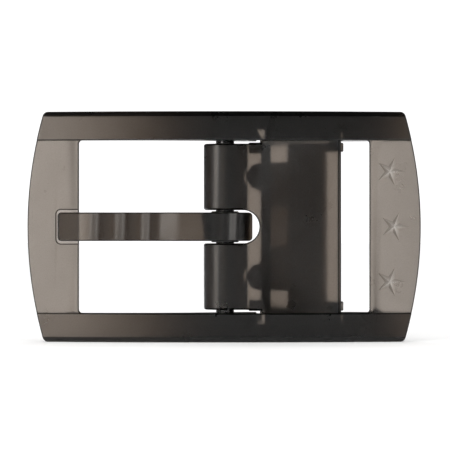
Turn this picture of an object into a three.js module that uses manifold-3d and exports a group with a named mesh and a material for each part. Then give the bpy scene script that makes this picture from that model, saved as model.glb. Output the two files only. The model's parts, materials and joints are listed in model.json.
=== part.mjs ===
// A moulded belt buckle for a 38 mm strap: a one-piece frame, a prong on a pin, and a clamp lever behind.
//
// The buckle is drawn lying on its back, in millimetres: x runs along the belt, y across it, and z from the
// back plane (z = 0) to the front. The last lines stand it up as it is worn, on the edge of its lower rail,
// with its front facing -Y and its origin under the middle of its box.
import * as THREE from "three";
import { mergeVertices } from "three/addons/utils/BufferGeometryUtils.js";
import Module from "manifold-3d";

const wasm = await Module();
wasm.setup();

// ---------------------------------------------------------------- driving dimensions
const LENGTH = 91.4; // over the bulged ends
const HEIGHT = 53.4; // over the two rails
const OPENING = 40; // between the rails, for a 38 mm strap
const FRONT_TOP = 10.5; // the rails' front over the back plane, at mid length
const FRONT_RADIUS = 260; // the front is a slice of a cylinder, so that it follows a waist
const END_RADIUS = 94; // the ends' bulge, seen from the front
const CORNER_RADIUS = 1.3;
const RAIL_BEVEL = 1.2; // along the rails' outer edges, front and back
const CLEARANCE = 0.3; // round every pin, and between pieces that would touch
const OVERLAP = 0.5; // how far joined features run into each other before they are fused

const HALF_LENGTH = LENGTH / 2;
const HALF_HEIGHT = HEIGHT / 2;
const HALF_OPENING = OPENING / 2;

// The rails' back from the left end to the right, thin at both ends and deep round the clamp: each row is the
// end of a straight line, or a curve's two handles and its end, as [x, z].
const RAIL_BACK = [
  [[-HALF_LENGTH, 3.4]],
  [[-41, 4.5]],
  [[-35, 5.5], [-30, 5.9], [-24, 5.9]],
  [[-4, 5.9], [-1, 0], [8.5, 0]],
  [[28, 0]],
  [[32, 0], [36, 1.7], [41, 2.6]],
  [[HALF_LENGTH, 3.2]],
];

const WINDOW_END = 33.7; // half the distance between the end bars
const WINDOW_CORNER = 0.8;
const BAR_THICKNESS = { left: 1.7, right: 1.5 };
const BAR_STEP = { inner: 0.8, outer: 0.3 }; // how far the end bars lie below the rails' front
const TIP_SEAT = { end_x: -38.9, half: 3.9, depth: 0.5, corner: 1 }; // for the prong's tip, in the left bar
const STARS = { radius: 3.85, waist: 0.36, depth: 0.9, pitch: 12.8, side_x: 38.5, middle_x: 39.5 };

const PIVOT = { x: 0.2, z: 5.2 }; // the prong's axis
const PRONG_PIN = { radius: 2.1, lower_y: 23.5, upper_y: HALF_HEIGHT - 0.35 };
const BARREL = { nose: 4.9, half_depth: 3.5, back_x: 5.3, back_z: 0.9, bevel: 0.4, end_x: 6.4, sink: 0.1 };
const SLOT = { half: 3.87, centre_x: 4.33 }; // for the prong's hub, with a round end
const SIDE_GAP = { width: 0.75, end_x: 8.6 }; // between each rail and the barrels
const PLATE = { top: 8.1, thickness: 2.3, end_x: 27.1, edge: 0.5 };

const HINGE = { x: 25.7, z: 2.4 }; // the lever's axis
const LEVER_PIN = { radius: 1.2, inner_y: 17.8, outer_y: 22 };
const LATCH_NOTCH = { x: 8.5, width: 1.8, depth: 2.5, top: 8.3 }; // in each rail, for the lever's lug
const SPRING_SLIT = { x: 27.2, width: 0.5, inner_y: 20.4, outer_y: 22, top: 6.5 }; // lets the pin snap in
const TAB_RELIEF = { gap: 0.85, top: 5.6 }; // behind the barrels, round the lever's finger tabs

const PRONG = { tip_x: -38.5, tail_x: 6.58, half_width: 3.3, corner: 0.9, tip_top: 9.2, shank_top: 11 };
const PRONG_UNDER = { waves: 5.2, shank: 7.8, tail: 4.4 };
const WAVE = { height: 0.45, length: 6.1, first_crest: -28.7, lift: 0.25, from: -33.5, to: -14.5 };
const RAMP = { from: -17, to: -9.5 }; // where the prong climbs from its waves to its level shank
const DIP = { depth: 1.8, from: -3.2, to: 0.3 }; // over the pin
const BUMP = { height: 0.7, from: 0.9, to: 3 };
const TAIL = { drop: 3.9, from: 3.4, to: 7.4 };
const HUB = { radius: 3.9, start: -0.36, turn: Math.PI - 0.6, tail_z: 3.8 }; // its round back
const BOSS = { radius: 3.2, half_width: 3.6 }; // on the hub's sides, to centre it in its slot

const LEVER = { back: 0.4, half_width: HALF_OPENING - 0.4 };
const GRIP = { from: 14.8, to: 24, top: 3.7, chamfer: 1.6 };
const TEETH = { count: 4, pitch: 1.6, height: 0.5, lean: 0.3, first_x: 15.6, half_width: 18.6 };
const RIDGE = { from: 8.6, to: 10.8, top: 5.4 }; // the strap's end stops against it
const NECK = { half: 15.3, top: 3.7, thin_half: 4.7, thin_top: 2.2 };
const ARM = { inner_y: 17.1, end_x: 5.7, top: 5 };
const LUG = { from: 8.4, to: 9.05, outer_y: 21.2, top: 1.9 };
const EAR = { inner_y: 17.5, radius: 2.2 };
const TAB = { x: 8.2, y: 11.7, radius: 3, top: 5 }; // for a finger, one on each side of the prong

// ---------------------------------------------------------------- solids
function solidOf(geometry) {
  geometry.deleteAttribute("normal");
  geometry.deleteAttribute("uv");
  const merged = mergeVertices(geometry, 1e-4);
  const triVerts = new Uint32Array(merged.index.array);
  const vertProperties = merged.attributes.position.array;
  return new wasm.Manifold(new wasm.Mesh({ numProp: 3, vertProperties, triVerts }));
}

function geometryOf(solid) {
  const mesh = solid.getMesh();
  const geometry = new THREE.BufferGeometry();
  geometry.setAttribute("position", new THREE.BufferAttribute(mesh.vertProperties, 3));
  geometry.setIndex(new THREE.BufferAttribute(mesh.triVerts, 1));
  const flat = geometry.toNonIndexed();
  flat.computeVertexNormals();
  return flat;
}

const joined = (...solids) => solids.reduce((all, next) => all.add(next));
const without = (solid, ...cutters) => cutters.reduce((left, cutter) => left.subtract(cutter), solid);

/** Makes a feature on each side of the buckle's middle: side is 1 above it and -1 below. */
const onBothSides = (make) => [1, -1].map(make);

/** A feature's span across the buckle on one side, from its distances to the middle. */
const across = (side, near, far) => (side > 0 ? [near, far] : [-far, -near]);

/** A front-view outline (x, y), from z0 to z1. */
function fromFront(shape, z0, z1, curveSegments = 12) {
  const options = { depth: z1 - z0, bevelEnabled: false, curveSegments };
  return solidOf(new THREE.ExtrudeGeometry(shape, options).translate(0, 0, z0));
}

/** A side-view profile (x, z), from y0 to y1, with its edges bevelled if asked. */
function fromSide(shape, [y0, y1], bevel = 0) {
  const options = {
    depth: y1 - y0 - 2 * bevel,
    bevelEnabled: bevel > 0,
    bevelThickness: bevel,
    bevelSize: bevel,
    bevelOffset: -bevel,
    bevelSegments: 2,
    curveSegments: 14,
  };
  const geometry = new THREE.ExtrudeGeometry(shape, options);
  return solidOf(geometry.rotateX(Math.PI / 2).translate(0, y1 - bevel, 0));
}

function boxOf([x0, x1], [y0, y1], [z0, z1]) {
  const box = new THREE.BoxGeometry(x1 - x0, y1 - y0, z1 - z0);
  return solidOf(box.translate((x0 + x1) / 2, (y0 + y1) / 2, (z0 + z1) / 2));
}

/** A round bar along y, about the axis at x and z. */
function roundAlongY({ x, z }, radius, [y0, y1], sides = 28) {
  const bar = new THREE.CylinderGeometry(radius, radius, y1 - y0, sides);
  return solidOf(bar.translate(x, (y0 + y1) / 2, z));
}

/** A round post along z, at (x, y). */
function roundAlongZ(x, y, radius, [z0, z1], sides = 32) {
  const post = new THREE.CylinderGeometry(radius, radius, z1 - z0, sides);
  return solidOf(post.rotateX(Math.PI / 2).translate(x, y, (z0 + z1) / 2));
}

const polygon = (points) => new THREE.Shape(points.map(([x, y]) => new THREE.Vector2(x, y)));

function roundedRectangle(x0, y0, x1, y1, radius) {
  const shape = new THREE.Shape();
  shape.absarc(x1 - radius, y1 - radius, radius, 0, Math.PI / 2);
  shape.absarc(x0 + radius, y1 - radius, radius, Math.PI / 2, Math.PI);
  shape.absarc(x0 + radius, y0 + radius, radius, Math.PI, 1.5 * Math.PI);
  shape.absarc(x1 - radius, y0 + radius, radius, 1.5 * Math.PI, 2 * Math.PI);
  return shape;
}

// ---------------------------------------------------------------- frame: rails and end bars
const frontAt = (x) => FRONT_TOP - (x * x) / (2 * FRONT_RADIUS);

/** An end bar's front: it lies below the rails' front, most at its window and least at its outer edge. */
function barFrontAt(x) {
  const outward = (Math.abs(x) - WINDOW_END) / (HALF_LENGTH - WINDOW_END);
  return frontAt(x) - THREE.MathUtils.lerp(BAR_STEP.inner, BAR_STEP.outer, outward);
}

/** The frame seen from the front: straight rails, bulged ends and rounded corners. */
function outline() {
  const corner_y = HALF_HEIGHT - CORNER_RADIUS;
  const reach = Math.sqrt((END_RADIUS - CORNER_RADIUS) ** 2 - corner_y ** 2);
  const bulge_x = END_RADIUS - HALF_LENGTH;
  const corner_x = reach - bulge_x;
  const turn = Math.atan2(corner_y, reach);
  const shape = new THREE.Shape();
  shape.absarc(corner_x, corner_y, CORNER_RADIUS, Math.PI / 2, turn, true);
  shape.absarc(-bulge_x, 0, END_RADIUS, turn, -turn, true);
  shape.absarc(corner_x, -corner_y, CORNER_RADIUS, -turn, -Math.PI / 2, true);
  shape.absarc(-corner_x, -corner_y, CORNER_RADIUS, -Math.PI / 2, turn - Math.PI, true);
  shape.absarc(bulge_x, 0, END_RADIUS, turn + Math.PI, Math.PI - turn, true);
  shape.absarc(-corner_x, corner_y, CORNER_RADIUS, Math.PI - turn, Math.PI / 2, true);
  return shape;
}

/** A rail seen from the side: an arched front over the back that RAIL_BACK gives. */
function railProfile() {
  const steps = 28;
  const shape = new THREE.Shape();
  shape.moveTo(HALF_LENGTH, frontAt(HALF_LENGTH));
  for (let i = 1; i <= steps; i += 1) {
    const x = HALF_LENGTH - (i * LENGTH) / steps;
    shape.lineTo(x, frontAt(x));
  }
  for (const [first, second, end] of RAIL_BACK) {
    if (end) shape.bezierCurveTo(...first, ...second, ...end);
    else shape.lineTo(...first);
  }
  return shape;
}

/** Both rails, bevelled along their outer edges only: the inner edges' bevels are cut off. */
function rails() {
  const past = RAIL_BEVEL + 1;
  const bevelled = fromSide(railProfile(), [HALF_OPENING - past, HALF_HEIGHT], RAIL_BEVEL);
  const inside = boxOf([-LENGTH, LENGTH], [-HALF_OPENING, HALF_OPENING], [-FRONT_TOP, 2 * FRONT_TOP]);
  const upper = without(bevelled, inside);
  return [upper, upper.mirror([0, 1, 0])];
}

/** One end bar: at the left for sign -1, and at the right for 1. */
function endBar(sign, thickness) {
  const steps = 6;
  const inner = WINDOW_END - WINDOW_CORNER;
  const front = [];
  for (let i = 0; i <= steps; i += 1) {
    const x = sign * (inner + ((HALF_LENGTH - inner) * i) / steps);
    front.push([x, barFrontAt(x)]);
  }
  const back = front.map(([x, z]) => [x, z - thickness]).reverse();
  return fromSide(polygon([...front, ...back]), [-HALF_OPENING - OVERLAP, HALF_OPENING + OVERLAP]);
}

/** The window beside each end bar, which rounds the corners between the bar and the rails. */
function windows() {
  const ends = [[-WINDOW_END, -2 * BARREL.nose], [PLATE.end_x + 1, WINDOW_END]];
  return ends.map(([x0, x1]) => {
    const plan = roundedRectangle(x0, -HALF_OPENING, x1, HALF_OPENING, WINDOW_CORNER);
    return fromFront(plan, -1, 2 * FRONT_TOP, 4);
  });
}

/** A five-pointed star sunk into the right bar: an upside-down cone with every other corner drawn in. */
function starCutter(x, y) {
  const { radius, depth, waist } = STARS;
  const cone = new THREE.CylinderGeometry(radius, 0, depth, 10, 1, false, Math.PI / 2).toNonIndexed();
  const position = cone.getAttribute("position");
  for (let i = 0; i < position.count; i += 1) {
    const corner = new THREE.Vector2(position.getX(i), position.getZ(i));
    const turns = Math.round(corner.angle() / (Math.PI / 5));
    if (corner.length() > 0 && turns % 2 === 1) corner.multiplyScalar(waist);
    position.setX(i, corner.x);
    position.setZ(i, corner.y);
  }
  const slope = Math.atan((barFrontAt(x + 1) - barFrontAt(x - 1)) / 2);
  const proud = 0.05; // the cutter stands out of the bar by this much, for a clean cut
  const middle = barFrontAt(x) - depth / 2 + proud;
  return solidOf(cone.rotateX(Math.PI / 2).rotateY(-slope).translate(x, y, middle));
}

function stars() {
  return [-1, 0, 1].map((n) => starCutter(n ? STARS.side_x : STARS.middle_x, n * STARS.pitch));
}

/** The shallow seat for the prong's tip in the left end bar. */
function tipSeat() {
  const { end_x: left, half, depth, corner } = TIP_SEAT;
  const right = corner - WINDOW_END + 1;
  const plan = roundedRectangle(left, -half, right, half, corner);
  const floor = [left - 1, right].map((x) => [x, barFrontAt(x) - depth]);
  const above = polygon([...floor, [right, FRONT_TOP], [left - 1, FRONT_TOP]]);
  return fromFront(plan, 0, FRONT_TOP).intersect(fromSide(above, [-half, half]));
}

// ---------------------------------------------------------------- frame: plate and barrels
/** The plate that covers the clamp, from the barrels to the slot on the right, where it is bevelled. */
function plateProfile() {
  const { top, end_x: end, edge } = PLATE;
  const start = BARREL.back_x - OVERLAP;
  const under = top - PLATE.thickness;
  return polygon([
    [end - edge, top],
    [start, top],
    [start, under],
    [end - edge, under],
    [end, under + edge],
    [end, top - edge],
  ]);
}

/** A barrel for the prong's pin: a rounded nose that runs into the plate, and a flat back. */
function barrelProfile() {
  const under = PLATE.top - PLATE.thickness;
  const { nose, half_depth, back_x, back_z, sink } = BARREL;
  const shape = new THREE.Shape();
  shape.moveTo(SIDE_GAP.end_x, PLATE.top - sink);
  shape.quadraticCurveTo(back_x, PLATE.top - sink / 2, PIVOT.x, PIVOT.z + half_depth);
  shape.absellipse(PIVOT.x, PIVOT.z, nose, half_depth, Math.PI / 2, 1.5 * Math.PI);
  shape.lineTo(back_x, back_z);
  shape.lineTo(back_x, under);
  shape.lineTo(SIDE_GAP.end_x, under);
  return shape;
}

/** The barrel on one side, up to where it ends inside the plate. */
function barrel(side) {
  const y = across(side, SLOT.half, HALF_OPENING - SIDE_GAP.width);
  const whole = fromSide(barrelProfile(), y, BARREL.bevel);
  const kept = boxOf([-FRONT_TOP, BARREL.end_x], [-HALF_OPENING, HALF_OPENING], [0, FRONT_TOP]);
  return whole.intersect(kept);
}

/** The plate with its two barrels, the slot for the prong's hub, and a narrow gap beside each rail. */
function bridge() {
  const plate = fromSide(plateProfile(), [-HALF_OPENING - OVERLAP, HALF_OPENING + OVERLAP]);
  const slot = new THREE.Shape();
  slot.absarc(SLOT.centre_x, 0, SLOT.half, -Math.PI / 2, Math.PI / 2);
  slot.lineTo(-2 * BARREL.nose, SLOT.half);
  slot.lineTo(-2 * BARREL.nose, -SLOT.half);
  const gaps = onBothSides((side) => {
    const y = across(side, HALF_OPENING - SIDE_GAP.width, HALF_OPENING + 2 * OVERLAP);
    return boxOf([-FRONT_TOP, SIDE_GAP.end_x], y, [-1, FRONT_TOP]);
  });
  const slotted = without(plate, fromFront(slot, -1, FRONT_TOP), ...gaps);
  return joined(slotted, ...onBothSides(barrel));
}

// ---------------------------------------------------------------- frame: what the pins and the lever need
function pinBores() {
  const prongBore = roundAlongY(
    PIVOT,
    PRONG_PIN.radius + CLEARANCE,
    [-PRONG_PIN.lower_y - CLEARANCE, HALF_HEIGHT + 1],
  );
  const leverBores = onBothSides((side) => {
    const y = across(side, HALF_OPENING - 1, LEVER_PIN.outer_y + CLEARANCE);
    return roundAlongY(HINGE, LEVER_PIN.radius + CLEARANCE, y, 24);
  });
  return [prongBore, ...leverBores];
}

function latchNotch(side) {
  const { x, width, depth, top } = LATCH_NOTCH;
  return boxOf([x - width / 2, x + width / 2], across(side, HALF_OPENING, HALF_OPENING + depth), [-1, top]);
}

function springSlit(side) {
  const { x, width, inner_y, outer_y, top } = SPRING_SLIT;
  return boxOf([x - width / 2, x + width / 2], across(side, inner_y, outer_y), [-1, top]);
}

function tabRelief(side) {
  return roundAlongZ(TAB.x, side * TAB.y, TAB.radius + TAB_RELIEF.gap, [-1, TAB_RELIEF.top]);
}

function frame() {
  const ring = joined(
    ...rails(),
    endBar(-1, BAR_THICKNESS.left),
    endBar(1, BAR_THICKNESS.right),
    bridge(),
  );
  const trimmed = ring.intersect(fromFront(outline(), -1, 2 * FRONT_TOP, 14));
  const behind = [latchNotch, springSlit, tabRelief].flatMap((cut) => onBothSides(cut));
  return without(trimmed, ...windows(), ...pinBores(), ...behind, ...stars(), tipSeat());
}

// ---------------------------------------------------------------- prong
/** 0 before a stretch, 1 after it, and smooth between. */
const through = ({ from, to }, x) => THREE.MathUtils.smoothstep(x, from, to);

/** The prong's front: a flat tip, three waves, a level shank, a dip over the pin, a bump, a rounded tail. */
function prongTopAt(x) {
  const rise = THREE.MathUtils.lerp(PRONG.tip_top, PRONG.shank_top, through(RAMP, x));
  const fade = 3; // the waves start and end over this length
  const start = through({ from: WAVE.from, to: WAVE.from + fade }, x);
  const end = through({ from: WAVE.to - fade, to: WAVE.to }, x);
  const wave = WAVE.height * Math.cos((2 * Math.PI * (x - WAVE.first_crest)) / WAVE.length);
  const waves = start * (1 - end) * (wave + WAVE.lift);
  const hub = BUMP.height * through(BUMP, x) - DIP.depth * through(DIP, x) - TAIL.drop * through(TAIL, x);
  return rise + waves + hub;
}

/** The prong's back: it clears its seat, runs deep under the waves, and climbs towards the hub. */
function prongBackAt(x) {
  const overSeat = barFrontAt(x) - TIP_SEAT.depth + CLEARANCE;
  const beyond = THREE.MathUtils.lerp(PRONG_UNDER.waves, PRONG_UNDER.shank, through(RAMP, x));
  return THREE.MathUtils.lerp(overSeat, beyond, through({ from: -33, to: -29 }, x));
}

function prongProfile() {
  const { tip_x: tip, tail_x: tail } = PRONG;
  const step = 0.7;
  const points = [];
  for (let x = tip; x < tail; x += step) points.push([x, prongTopAt(x)]);
  points.push([tail, prongTopAt(tail)], [tail, PRONG_UNDER.tail], [PIVOT.x + HUB.radius, HUB.tail_z]);
  const turns = 10;
  for (let i = 1; i <= turns; i += 1) {
    const angle = HUB.start - (HUB.turn * i) / turns;
    points.push([PIVOT.x + HUB.radius * Math.cos(angle), PIVOT.z + HUB.radius * Math.sin(angle)]);
  }
  const under_x = -5; // where the hub's round back meets the prong's back
  for (let x = under_x; x > tip; x -= 2 * step) points.push([x, prongBackAt(x)]);
  points.push([tip, prongBackAt(tip)]);
  return polygon(points);
}

function prong() {
  const { half_width: half, tip_x: tip, tail_x: tail, corner } = PRONG;
  const body = fromSide(prongProfile(), [-half, half]);
  const plan = fromFront(roundedRectangle(tip, -half, tail, half, corner), -1, 2 * FRONT_TOP, 6);
  const boss = roundAlongY(PIVOT, BOSS.radius, [-BOSS.half_width, BOSS.half_width]);
  const bore = roundAlongY(PIVOT, PRONG_PIN.radius + CLEARANCE, [-2 * half, 2 * half]);
  return without(body.intersect(plan).add(boss), bore);
}

const prongPin = () => roundAlongY(PIVOT, PRONG_PIN.radius, [-PRONG_PIN.lower_y, PRONG_PIN.upper_y]);

// ---------------------------------------------------------------- clamp lever
/** The pad under the teeth, thinned towards the hinge. */
function gripPad() {
  const { from, to, top, chamfer } = GRIP;
  const { back, half_width: half } = LEVER;
  const profile = polygon([[from, back], [to, back], [to, top - chamfer], [to - chamfer, top], [from, top]]);
  return fromSide(profile, [-half, half]);
}

/** A row of saw teeth that leans into the strap, so that it can't pull out to the right. */
function teeth() {
  const { count, pitch, height, lean, first_x, half_width: half } = TEETH;
  const root = GRIP.top - 0.2;
  const last_x = first_x + count * pitch;
  const points = [[first_x, root]];
  for (let x = first_x; x < last_x - lean; x += pitch) {
    points.push([x, GRIP.top], [x + lean, GRIP.top + height]);
  }
  points.push([last_x, GRIP.top], [last_x, root]);
  return fromSide(polygon(points), [-half, half]);
}

/** The ridge and the narrower neck behind it, which is thin in the middle, clear of the prong. */
function ridgeAndNeck() {
  const { back, half_width: half } = LEVER;
  const ridge = boxOf([RIDGE.from, RIDGE.to], [-half, half], [back, RIDGE.top]);
  const x = [RIDGE.to - OVERLAP, GRIP.from + OVERLAP];
  const neck = boxOf(x, [-NECK.half, NECK.half], [back, NECK.top]);
  const hollow = boxOf([RIDGE.to, GRIP.from], [-NECK.thin_half, NECK.thin_half], [NECK.thin_top, FRONT_TOP]);
  return ridge.add(without(neck, hollow));
}

/** One ear, which carries the lever on its stub pin: round in front, square behind. */
function ear(side) {
  const y = across(side, EAR.inner_y, LEVER.half_width);
  const knuckle = roundAlongY(HINGE, EAR.radius, y);
  const heel = boxOf([HINGE.x, HINGE.x + EAR.radius], y, [LEVER.back, HINGE.z]);
  const link = boxOf([GRIP.from, HINGE.x], y, [LEVER.back, GRIP.top]);
  return joined(knuckle, heel, link);
}

/** One latch arm with its lug, which sits in the rail's notch. */
function latchArm(side) {
  const arm_y = across(side, ARM.inner_y, LEVER.half_width);
  const arm = boxOf([ARM.end_x, RIDGE.from + OVERLAP], arm_y, [LEVER.back, ARM.top]);
  const lug_y = across(side, LEVER.half_width - OVERLAP, LUG.outer_y);
  return arm.add(boxOf([LUG.from, LUG.to], lug_y, [LEVER.back, LUG.top]));
}

const fingerTab = (side) => roundAlongZ(TAB.x, side * TAB.y, TAB.radius, [LEVER.back, TAB.top]);

function lever() {
  const sides = [ear, latchArm, fingerTab].flatMap((make) => onBothSides(make));
  const body = joined(gripPad(), teeth(), ridgeAndNeck(), ...sides);
  const bore = roundAlongY(HINGE, LEVER_PIN.radius + CLEARANCE, [-HALF_HEIGHT, HALF_HEIGHT], 24);
  return without(body, bore);
}

function leverPin(side) {
  return roundAlongY(HINGE, LEVER_PIN.radius, across(side, LEVER_PIN.inner_y, LEVER_PIN.outer_y), 24);
}

// ---------------------------------------------------------------- assembly
const smoke = new THREE.MeshStandardMaterial({ color: 0x4b4641, roughness: 0.4, metalness: 0 });
const blackPin = new THREE.MeshStandardMaterial({ color: 0x1b1a19, roughness: 0.35, metalness: 0 });

const buckle = new THREE.Group();

function place(name, solid, material) {
  const mesh = new THREE.Mesh(geometryOf(solid), material);
  mesh.name = name;
  buckle.add(mesh);
}

place("buckle_frame", frame(), smoke);
place("prong", prong(), smoke);
place("prong_pin", prongPin(), blackPin);
place("clamp_lever", lever(), smoke);
place("lever_pin_upper", leverPin(1), blackPin);
place("lever_pin_lower", leverPin(-1), blackPin);

// Stood on its lower rail: z, the front, turns to -Y, and y turns to +Z.
buckle.rotation.x = Math.PI / 2;
buckle.position.set(0, PRONG.shank_top / 2, HALF_HEIGHT);

const part = new THREE.Group();
part.add(buckle);

export default part;
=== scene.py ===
"""The belt buckle's looks: smoke-grey translucent plastic, rounded at its outer edges, on a pale floor."""
import json
import math

import bmesh
import bpy
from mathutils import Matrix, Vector


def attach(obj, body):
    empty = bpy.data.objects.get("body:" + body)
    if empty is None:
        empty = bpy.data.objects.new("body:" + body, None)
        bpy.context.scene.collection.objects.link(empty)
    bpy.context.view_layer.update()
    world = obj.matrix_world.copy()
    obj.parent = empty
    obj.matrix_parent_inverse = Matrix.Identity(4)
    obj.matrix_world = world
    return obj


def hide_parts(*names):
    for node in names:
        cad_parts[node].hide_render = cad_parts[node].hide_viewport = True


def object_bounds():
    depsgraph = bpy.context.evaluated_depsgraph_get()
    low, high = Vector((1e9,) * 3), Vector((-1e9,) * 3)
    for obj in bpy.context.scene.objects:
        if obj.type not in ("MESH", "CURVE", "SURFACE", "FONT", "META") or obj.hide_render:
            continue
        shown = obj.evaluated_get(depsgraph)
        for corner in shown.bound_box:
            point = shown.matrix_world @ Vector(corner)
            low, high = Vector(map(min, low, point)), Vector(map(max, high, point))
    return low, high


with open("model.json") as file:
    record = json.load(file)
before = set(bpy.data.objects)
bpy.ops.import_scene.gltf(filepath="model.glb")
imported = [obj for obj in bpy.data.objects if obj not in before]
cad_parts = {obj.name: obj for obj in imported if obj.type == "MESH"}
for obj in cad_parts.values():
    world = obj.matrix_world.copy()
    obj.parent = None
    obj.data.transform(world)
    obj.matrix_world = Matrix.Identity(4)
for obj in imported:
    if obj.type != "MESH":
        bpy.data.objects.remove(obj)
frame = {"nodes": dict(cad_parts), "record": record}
cad_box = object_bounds()

MM = 0.001
MIDDLE = (Vector(cad_box[0]) + Vector(cad_box[1])) / 2
WIDTH = cad_box[1][0] - cad_box[0][0]
HEIGHT = cad_box[1][2] - cad_box[0][2]

# The rails and the ornamented end bar, as the CAD model makes them
RAIL_BEVEL = 1.2 * MM
HALF_OPENING = 20 * MM
END_RADIUS = 94 * MM
WINDOW_END = 33.7 * MM
ORNAMENT_INSET = 0.5 * MM  # the stars keep this far from the bar's own edges

# The edges of the moulded pieces
EDGE_WIDTH = 0.26 * MM
EDGE_SEGMENTS = 3
ROUNDED = math.radians(40)  # outer edges that turn by more than this are rounded
CREASED = math.radians(20)  # other edges that turn by more than this stay crisp
FLAT = math.radians(0.15)  # facets that turn by less than this are joined
WELD = 0.003 * MM

# The plastic: what it lets through per unit of depth, how its surface tints the light, and the painted shade
# on its edges and on slopes facing away from the key light
SMOKE = (0.30, 0.22, 0.14)
PIN_SMOKE = (0.16, 0.15, 0.13)
PLAIN_TINT = (1, 1, 1, 1)
GRAIN_TINT = (0.6, 0.585, 0.57, 1)
SHADE_TINT = (0.3, 0.285, 0.27, 1)
EDGE_SHADE_TINT = (0.02, 0.019, 0.018, 1)
REFRACTION = 1.46

# Noise, in features per metre
SAND = 5200.0
CLOUD = 160.0
FLOW = 55.0


# ---------------------------------------------------------------- node helpers
def new_material(name):
    material = bpy.data.materials.new(name)
    material.use_nodes = True
    material.node_tree.nodes.clear()
    return material, material.node_tree


def add(tree, kind, **sockets):
    """A node, with its inputs set by name (an underscore stands for a space)."""
    node = tree.nodes.new(kind)
    for key, value in sockets.items():
        node.inputs[key.replace("_", " ")].default_value = value
    return node


def mapped(tree, value, low, high, start=0.0, end=1.0):
    """low where value is at start or before, high where it is at end or past it, and in between a ramp."""
    node = add(tree, "ShaderNodeMapRange", From_Min=start, From_Max=end, To_Min=low, To_Max=high)
    tree.links.new(value, node.inputs["Value"])
    return node.outputs["Result"]


def blended(tree, factor, first, second):
    """A colour between first and second, each a colour or an output."""
    mix = tree.nodes.new("ShaderNodeMix")
    mix.data_type = "RGBA"
    tree.links.new(factor, mix.inputs["Factor"])
    for socket, value in ((mix.inputs["A"], first), (mix.inputs["B"], second)):
        if isinstance(value, tuple):
            socket.default_value = value
        else:
            tree.links.new(value, socket)
    return mix.outputs["Result"]


def combined(tree, operation, first, second=None):
    """One or two outputs put through a Math operation; second may be a number."""
    node = tree.nodes.new("ShaderNodeMath")
    node.operation = operation
    tree.links.new(first, node.inputs[0])
    if isinstance(second, float):
        node.inputs[1].default_value = second
    elif second is not None:
        tree.links.new(second, node.inputs[1])
    return node.outputs["Value"]


def axes_of(tree, vector):
    """The X, Y and Z outputs of one of the Texture Coordinate node's vectors."""
    axes = tree.nodes.new("ShaderNodeSeparateXYZ")
    tree.links.new(tree.nodes.new("ShaderNodeTexCoord").outputs[vector], axes.inputs["Vector"])
    return axes.outputs


# ---------------------------------------------------------------- where painted shade darkens the plastic
def rail_shade_mask(tree):
    """Painted shade: 1 on the rails' outer bevels and inner walls, which send the light aside, and 0
    elsewhere.
    """
    above_middle = combined(tree, "SUBTRACT", axes_of(tree, "Object")["Z"], MIDDLE.z)
    from_middle = combined(tree, "ABSOLUTE", above_middle)
    upright = combined(tree, "ABSOLUTE", axes_of(tree, "Normal")["Z"])

    bevel = HEIGHT / 2 - RAIL_BEVEL
    outer = mapped(tree, from_middle, 0, 1, bevel - 0.05 * MM, bevel + 0.05 * MM)
    sloped = combined(tree, "MULTIPLY", mapped(tree, upright, 0, 1, 0.1, 0.3),
                      mapped(tree, upright, 1, 0, 0.95, 0.99))

    at_opening = mapped(tree, from_middle, 0, 1, HALF_OPENING - 0.08 * MM, HALF_OPENING - 0.04 * MM)
    not_past = mapped(tree, from_middle, 1, 0, HALF_OPENING + 0.1 * MM, HALF_OPENING + 0.2 * MM)
    wall = combined(tree, "MULTIPLY", combined(tree, "MULTIPLY", at_opening, not_past),
                    mapped(tree, upright, 0, 1, 0.95, 0.99))
    return combined(tree, "MAXIMUM", combined(tree, "MULTIPLY", outer, sloped), wall)


def edge_shade_mask(tree):
    """Painted shade: 1 on the rounded edges and wherever the rails' mask is 1, and 0 elsewhere."""
    rounded = tree.nodes.new("ShaderNodeAttribute")
    rounded.attribute_name = "rounded"
    return combined(tree, "MAXIMUM", rounded.outputs["Fac"], rail_shade_mask(tree))


def shade_mask(tree):
    """Up to 1 on front slopes that turn right or down, away from the light, such as the stars' far facets."""
    normal = axes_of(tree, "Normal")
    right = mapped(tree, normal["X"], 0, 1, 0.06, 0.32)
    down = mapped(tree, normal["Z"], 0, 0.8, -0.06, -0.4)
    front = mapped(tree, normal["Y"], 1, 0, -0.7, -0.5)
    return combined(tree, "MULTIPLY", combined(tree, "MAXIMUM", right, down), front)


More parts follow.
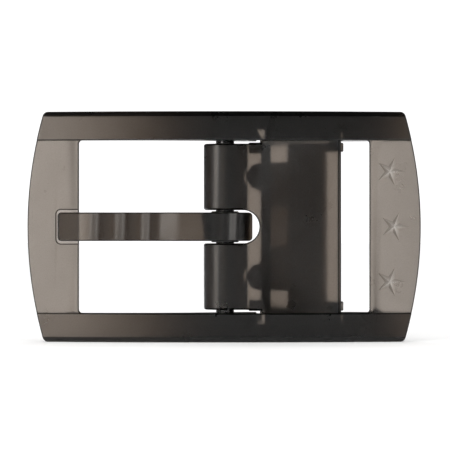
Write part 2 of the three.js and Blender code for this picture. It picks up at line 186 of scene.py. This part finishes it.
def smoke_plastic(name, density, absorbed, roughness=0.3, grain=0.25, shaded=False):
    """Translucent plastic that darkens with depth, with a fine grain on a slightly uneven surface, and
    painted shade on its edges (and, if shaded, on slopes facing away from the light).
    """
    material, tree = new_material(name)
    link = tree.links.new
    place = tree.nodes.new("ShaderNodeTexCoord").outputs["Object"]
    sand = add(tree, "ShaderNodeTexNoise", Scale=SAND, Detail=3.0, Roughness=0.6)
    cloud = add(tree, "ShaderNodeTexNoise", Scale=CLOUD, Detail=4.0, Roughness=0.55)
    flow = add(tree, "ShaderNodeTexNoise", Scale=FLOW, Detail=2.0, Roughness=0.5, Distortion=0.8)
    for noise in (sand, cloud, flow):
        link(place, noise.inputs["Vector"])

    shader = add(tree, "ShaderNodeBsdfPrincipled", IOR=REFRACTION, Transmission_Weight=1.0)
    plain = combined(tree, "MULTIPLY", mapped(tree, cloud.outputs["Fac"], 0.75, 1, 0.3, 0.7),
                     mapped(tree, sand.outputs["Fac"], 0.5, 1, 0.3, 0.6))
    tint = blended(tree, plain, GRAIN_TINT, PLAIN_TINT)
    # painted shade: slopes facing right or down, away from the key light, are darkened
    if shaded:
        tint = blended(tree, shade_mask(tree), tint, SHADE_TINT)
    # painted shade: the rounded edges and the rails' bevels and inner walls go nearly black, as where
    # refraction sends the light aside
    link(blended(tree, edge_shade_mask(tree), tint, EDGE_SHADE_TINT), shader.inputs["Base Color"])
    link(mapped(tree, cloud.outputs["Fac"], roughness - 0.04, roughness + 0.05, 0.3, 0.7),
         shader.inputs["Roughness"])

    grain_bump = add(tree, "ShaderNodeBump", Strength=grain, Distance=0.05 * MM)
    link(sand.outputs["Fac"], grain_bump.inputs["Height"])
    flow_bump = add(tree, "ShaderNodeBump", Strength=0.12, Distance=0.1 * MM)
    link(flow.outputs["Fac"], flow_bump.inputs["Height"])
    link(grain_bump.outputs["Normal"], flow_bump.inputs["Normal"])
    link(flow_bump.outputs["Normal"], shader.inputs["Normal"])

    depth = add(tree, "ShaderNodeVolumeAbsorption", Color=(*absorbed, 1), Density=density)
    out = tree.nodes.new("ShaderNodeOutputMaterial")
    link(shader.outputs["BSDF"], out.inputs["Surface"])
    link(depth.outputs["Volume"], out.inputs["Volume"])
    return material


# ---------------------------------------------------------------- pieces
def on_ornament(point):
    """True inside the right end bar's face, where the stars' edges stay crisp."""
    to_end = END_RADIUS - math.hypot(point.x + END_RADIUS - WIDTH / 2, point.z - MIDDLE.z)
    right_of_window = point.x > WINDOW_END + ORNAMENT_INSET
    between_rails = abs(point.z - MIDDLE.z) < HALF_OPENING - ORNAMENT_INSET
    return right_of_window and between_rails and to_end > ORNAMENT_INSET


def moulded(node, material):
    """The CAD node as a moulding: its outer edges are rounded, and marked so that the material paints shade
    on them.
    """
    bodies = frame["record"]["behaviour"]["bodies"]
    body = next(name for name, nodes in bodies.items() if node in nodes)
    shape = bmesh.new()
    shape.from_mesh(frame["nodes"][node].data)
    bmesh.ops.remove_doubles(shape, verts=shape.verts, dist=WELD)
    bmesh.ops.dissolve_limit(shape, angle_limit=FLAT, verts=shape.verts, edges=shape.edges)
    bmesh.ops.triangulate(shape, faces=shape.faces, quad_method="BEAUTY", ngon_method="BEAUTY")

    rounded = []
    for edge in shape.edges:
        middle = (edge.verts[0].co + edge.verts[1].co) / 2
        if edge.calc_face_angle_signed() > ROUNDED and not on_ornament(middle):
            rounded.append(edge)
        elif edge.calc_face_angle() > CREASED:
            edge.smooth = False
    mark = shape.faces.layers.float.new("rounded")
    made = bmesh.ops.bevel(shape, geom=rounded, offset=EDGE_WIDTH, offset_type="OFFSET", profile=0.5,
                           segments=EDGE_SEGMENTS, affect="EDGES", clamp_overlap=False, material=-1)
    for face in made["faces"]:
        face[mark] = 1
    for face in shape.faces:
        face.smooth = True

    mesh = bpy.data.meshes.new(f"{node}_moulding")
    shape.to_mesh(mesh)
    shape.free()
    mesh.materials.append(material)
    piece = bpy.data.objects.new(f"{node}_moulding", mesh)
    bpy.context.collection.objects.link(piece)
    shading = piece.modifiers.new("even shading", "WEIGHTED_NORMAL")
    shading.keep_sharp = True
    shading.weight = 100  # the largest faces decide, so flat faces shade flat
    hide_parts(node)
    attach(piece, body)
    return piece


frame_plastic = smoke_plastic("smoke_plastic", 1050, SMOKE, shaded=True)
prong_plastic = smoke_plastic("prong_plastic", 1120, SMOKE, roughness=0.34)
lever_plastic = smoke_plastic("lever_plastic", 1250, SMOKE)
pin_plastic = smoke_plastic("pin", 2500, PIN_SMOKE, roughness=0.22, grain=0.02)

for node, material, finish in (
    ("buckle_frame", frame_plastic, "smoke_plastic"),
    ("prong", prong_plastic, "prong_plastic"),
    ("clamp_lever", lever_plastic, "lever_plastic"),
    ("prong_pin", pin_plastic, "pin"),
    ("lever_pin_upper", pin_plastic, "pin"),
    ("lever_pin_lower", pin_plastic, "pin"),
):
    moulded(node, material)


# ---------------------------------------------------------------- floor, light and camera
def floor(half_side=3.0):
    mesh = bpy.data.meshes.new("floor")
    corners = [(x * half_side, y * half_side, 0) for x, y in ((-1, -1), (1, -1), (1, 1), (-1, 1))]
    mesh.from_pydata(corners, [], [(0, 1, 2, 3)])
    plane = bpy.data.objects.new("floor", mesh)
    plane.location.z = cad_box[0][2]
    bpy.context.collection.objects.link(plane)
    material, tree = new_material("pale_floor")
    shader = add(tree, "ShaderNodeBsdfPrincipled", Base_Color=(0.93, 0.93, 0.93, 1), Roughness=0.9,
                 Specular_IOR_Level=0.1)
    out = tree.nodes.new("ShaderNodeOutputMaterial")
    tree.links.new(shader.outputs["BSDF"], out.inputs["Surface"])
    mesh.materials.append(material)


def white_room(brightness=1.15, mirrored=0.05):
    """A white surround that shines through the plastic, but is only dimly mirrored by its gloss."""
    world = bpy.data.worlds.new("white_room")
    world.use_nodes = True
    world.cycles.sampling_method = "NONE"
    tree = world.node_tree
    tree.nodes.clear()
    paths = tree.nodes.new("ShaderNodeLightPath")
    gloss = combined(tree, "SUBTRACT", paths.outputs["Is Reflection Ray"], paths.outputs["Is Diffuse Ray"])
    background = add(tree, "ShaderNodeBackground", Color=(1, 1, 1, 1))
    tree.links.new(mapped(tree, gloss, brightness, mirrored), background.inputs["Strength"])
    out = tree.nodes.new("ShaderNodeOutputWorld")
    tree.links.new(background.outputs["Background"], out.inputs["Surface"])
    bpy.context.scene.world = world


def softbox(name, place, size, power):
    """A slightly warm area light that faces the buckle's middle."""
    light = bpy.data.lights.new(name, "AREA")
    light.shape = "RECTANGLE"
    light.size, light.size_y = size
    light.energy = power
    light.color = (1, 0.96, 0.91)
    lamp = bpy.data.objects.new(name, light)
    lamp.location = place
    lamp.rotation_euler = (MIDDLE - Vector(place)).to_track_quat("-Z", "Y").to_euler()
    bpy.context.collection.objects.link(lamp)


def camera(distance=0.55, view_width=WIDTH * 1.145, right=0.2 * MM, up=0.4 * MM):
    """Straight in front of the buckle, with view_width across the picture at the buckle's middle."""
    data = bpy.data.cameras.new("camera")
    data.sensor_width = 36
    data.lens = data.sensor_width * distance / view_width
    data.clip_start, data.clip_end = 0.01, 20
    lens = bpy.data.objects.new("camera", data)
    lens.location = MIDDLE + Vector((right, -distance, up))
    lens.rotation_euler = Vector((0, 1, 0)).to_track_quat("-Z", "Y").to_euler()
    bpy.context.collection.objects.link(lens)
    bpy.context.scene.camera = lens


floor()
white_room()
softbox("key", place=(-0.45, -0.6, 0.2), size=(0.25, 0.4), power=2.4)
softbox("fill", place=(0.6, -0.5, 0.3), size=(0.3, 0.4), power=0.8)
camera()
bpy.context.scene.view_settings.view_transform = "Standard"
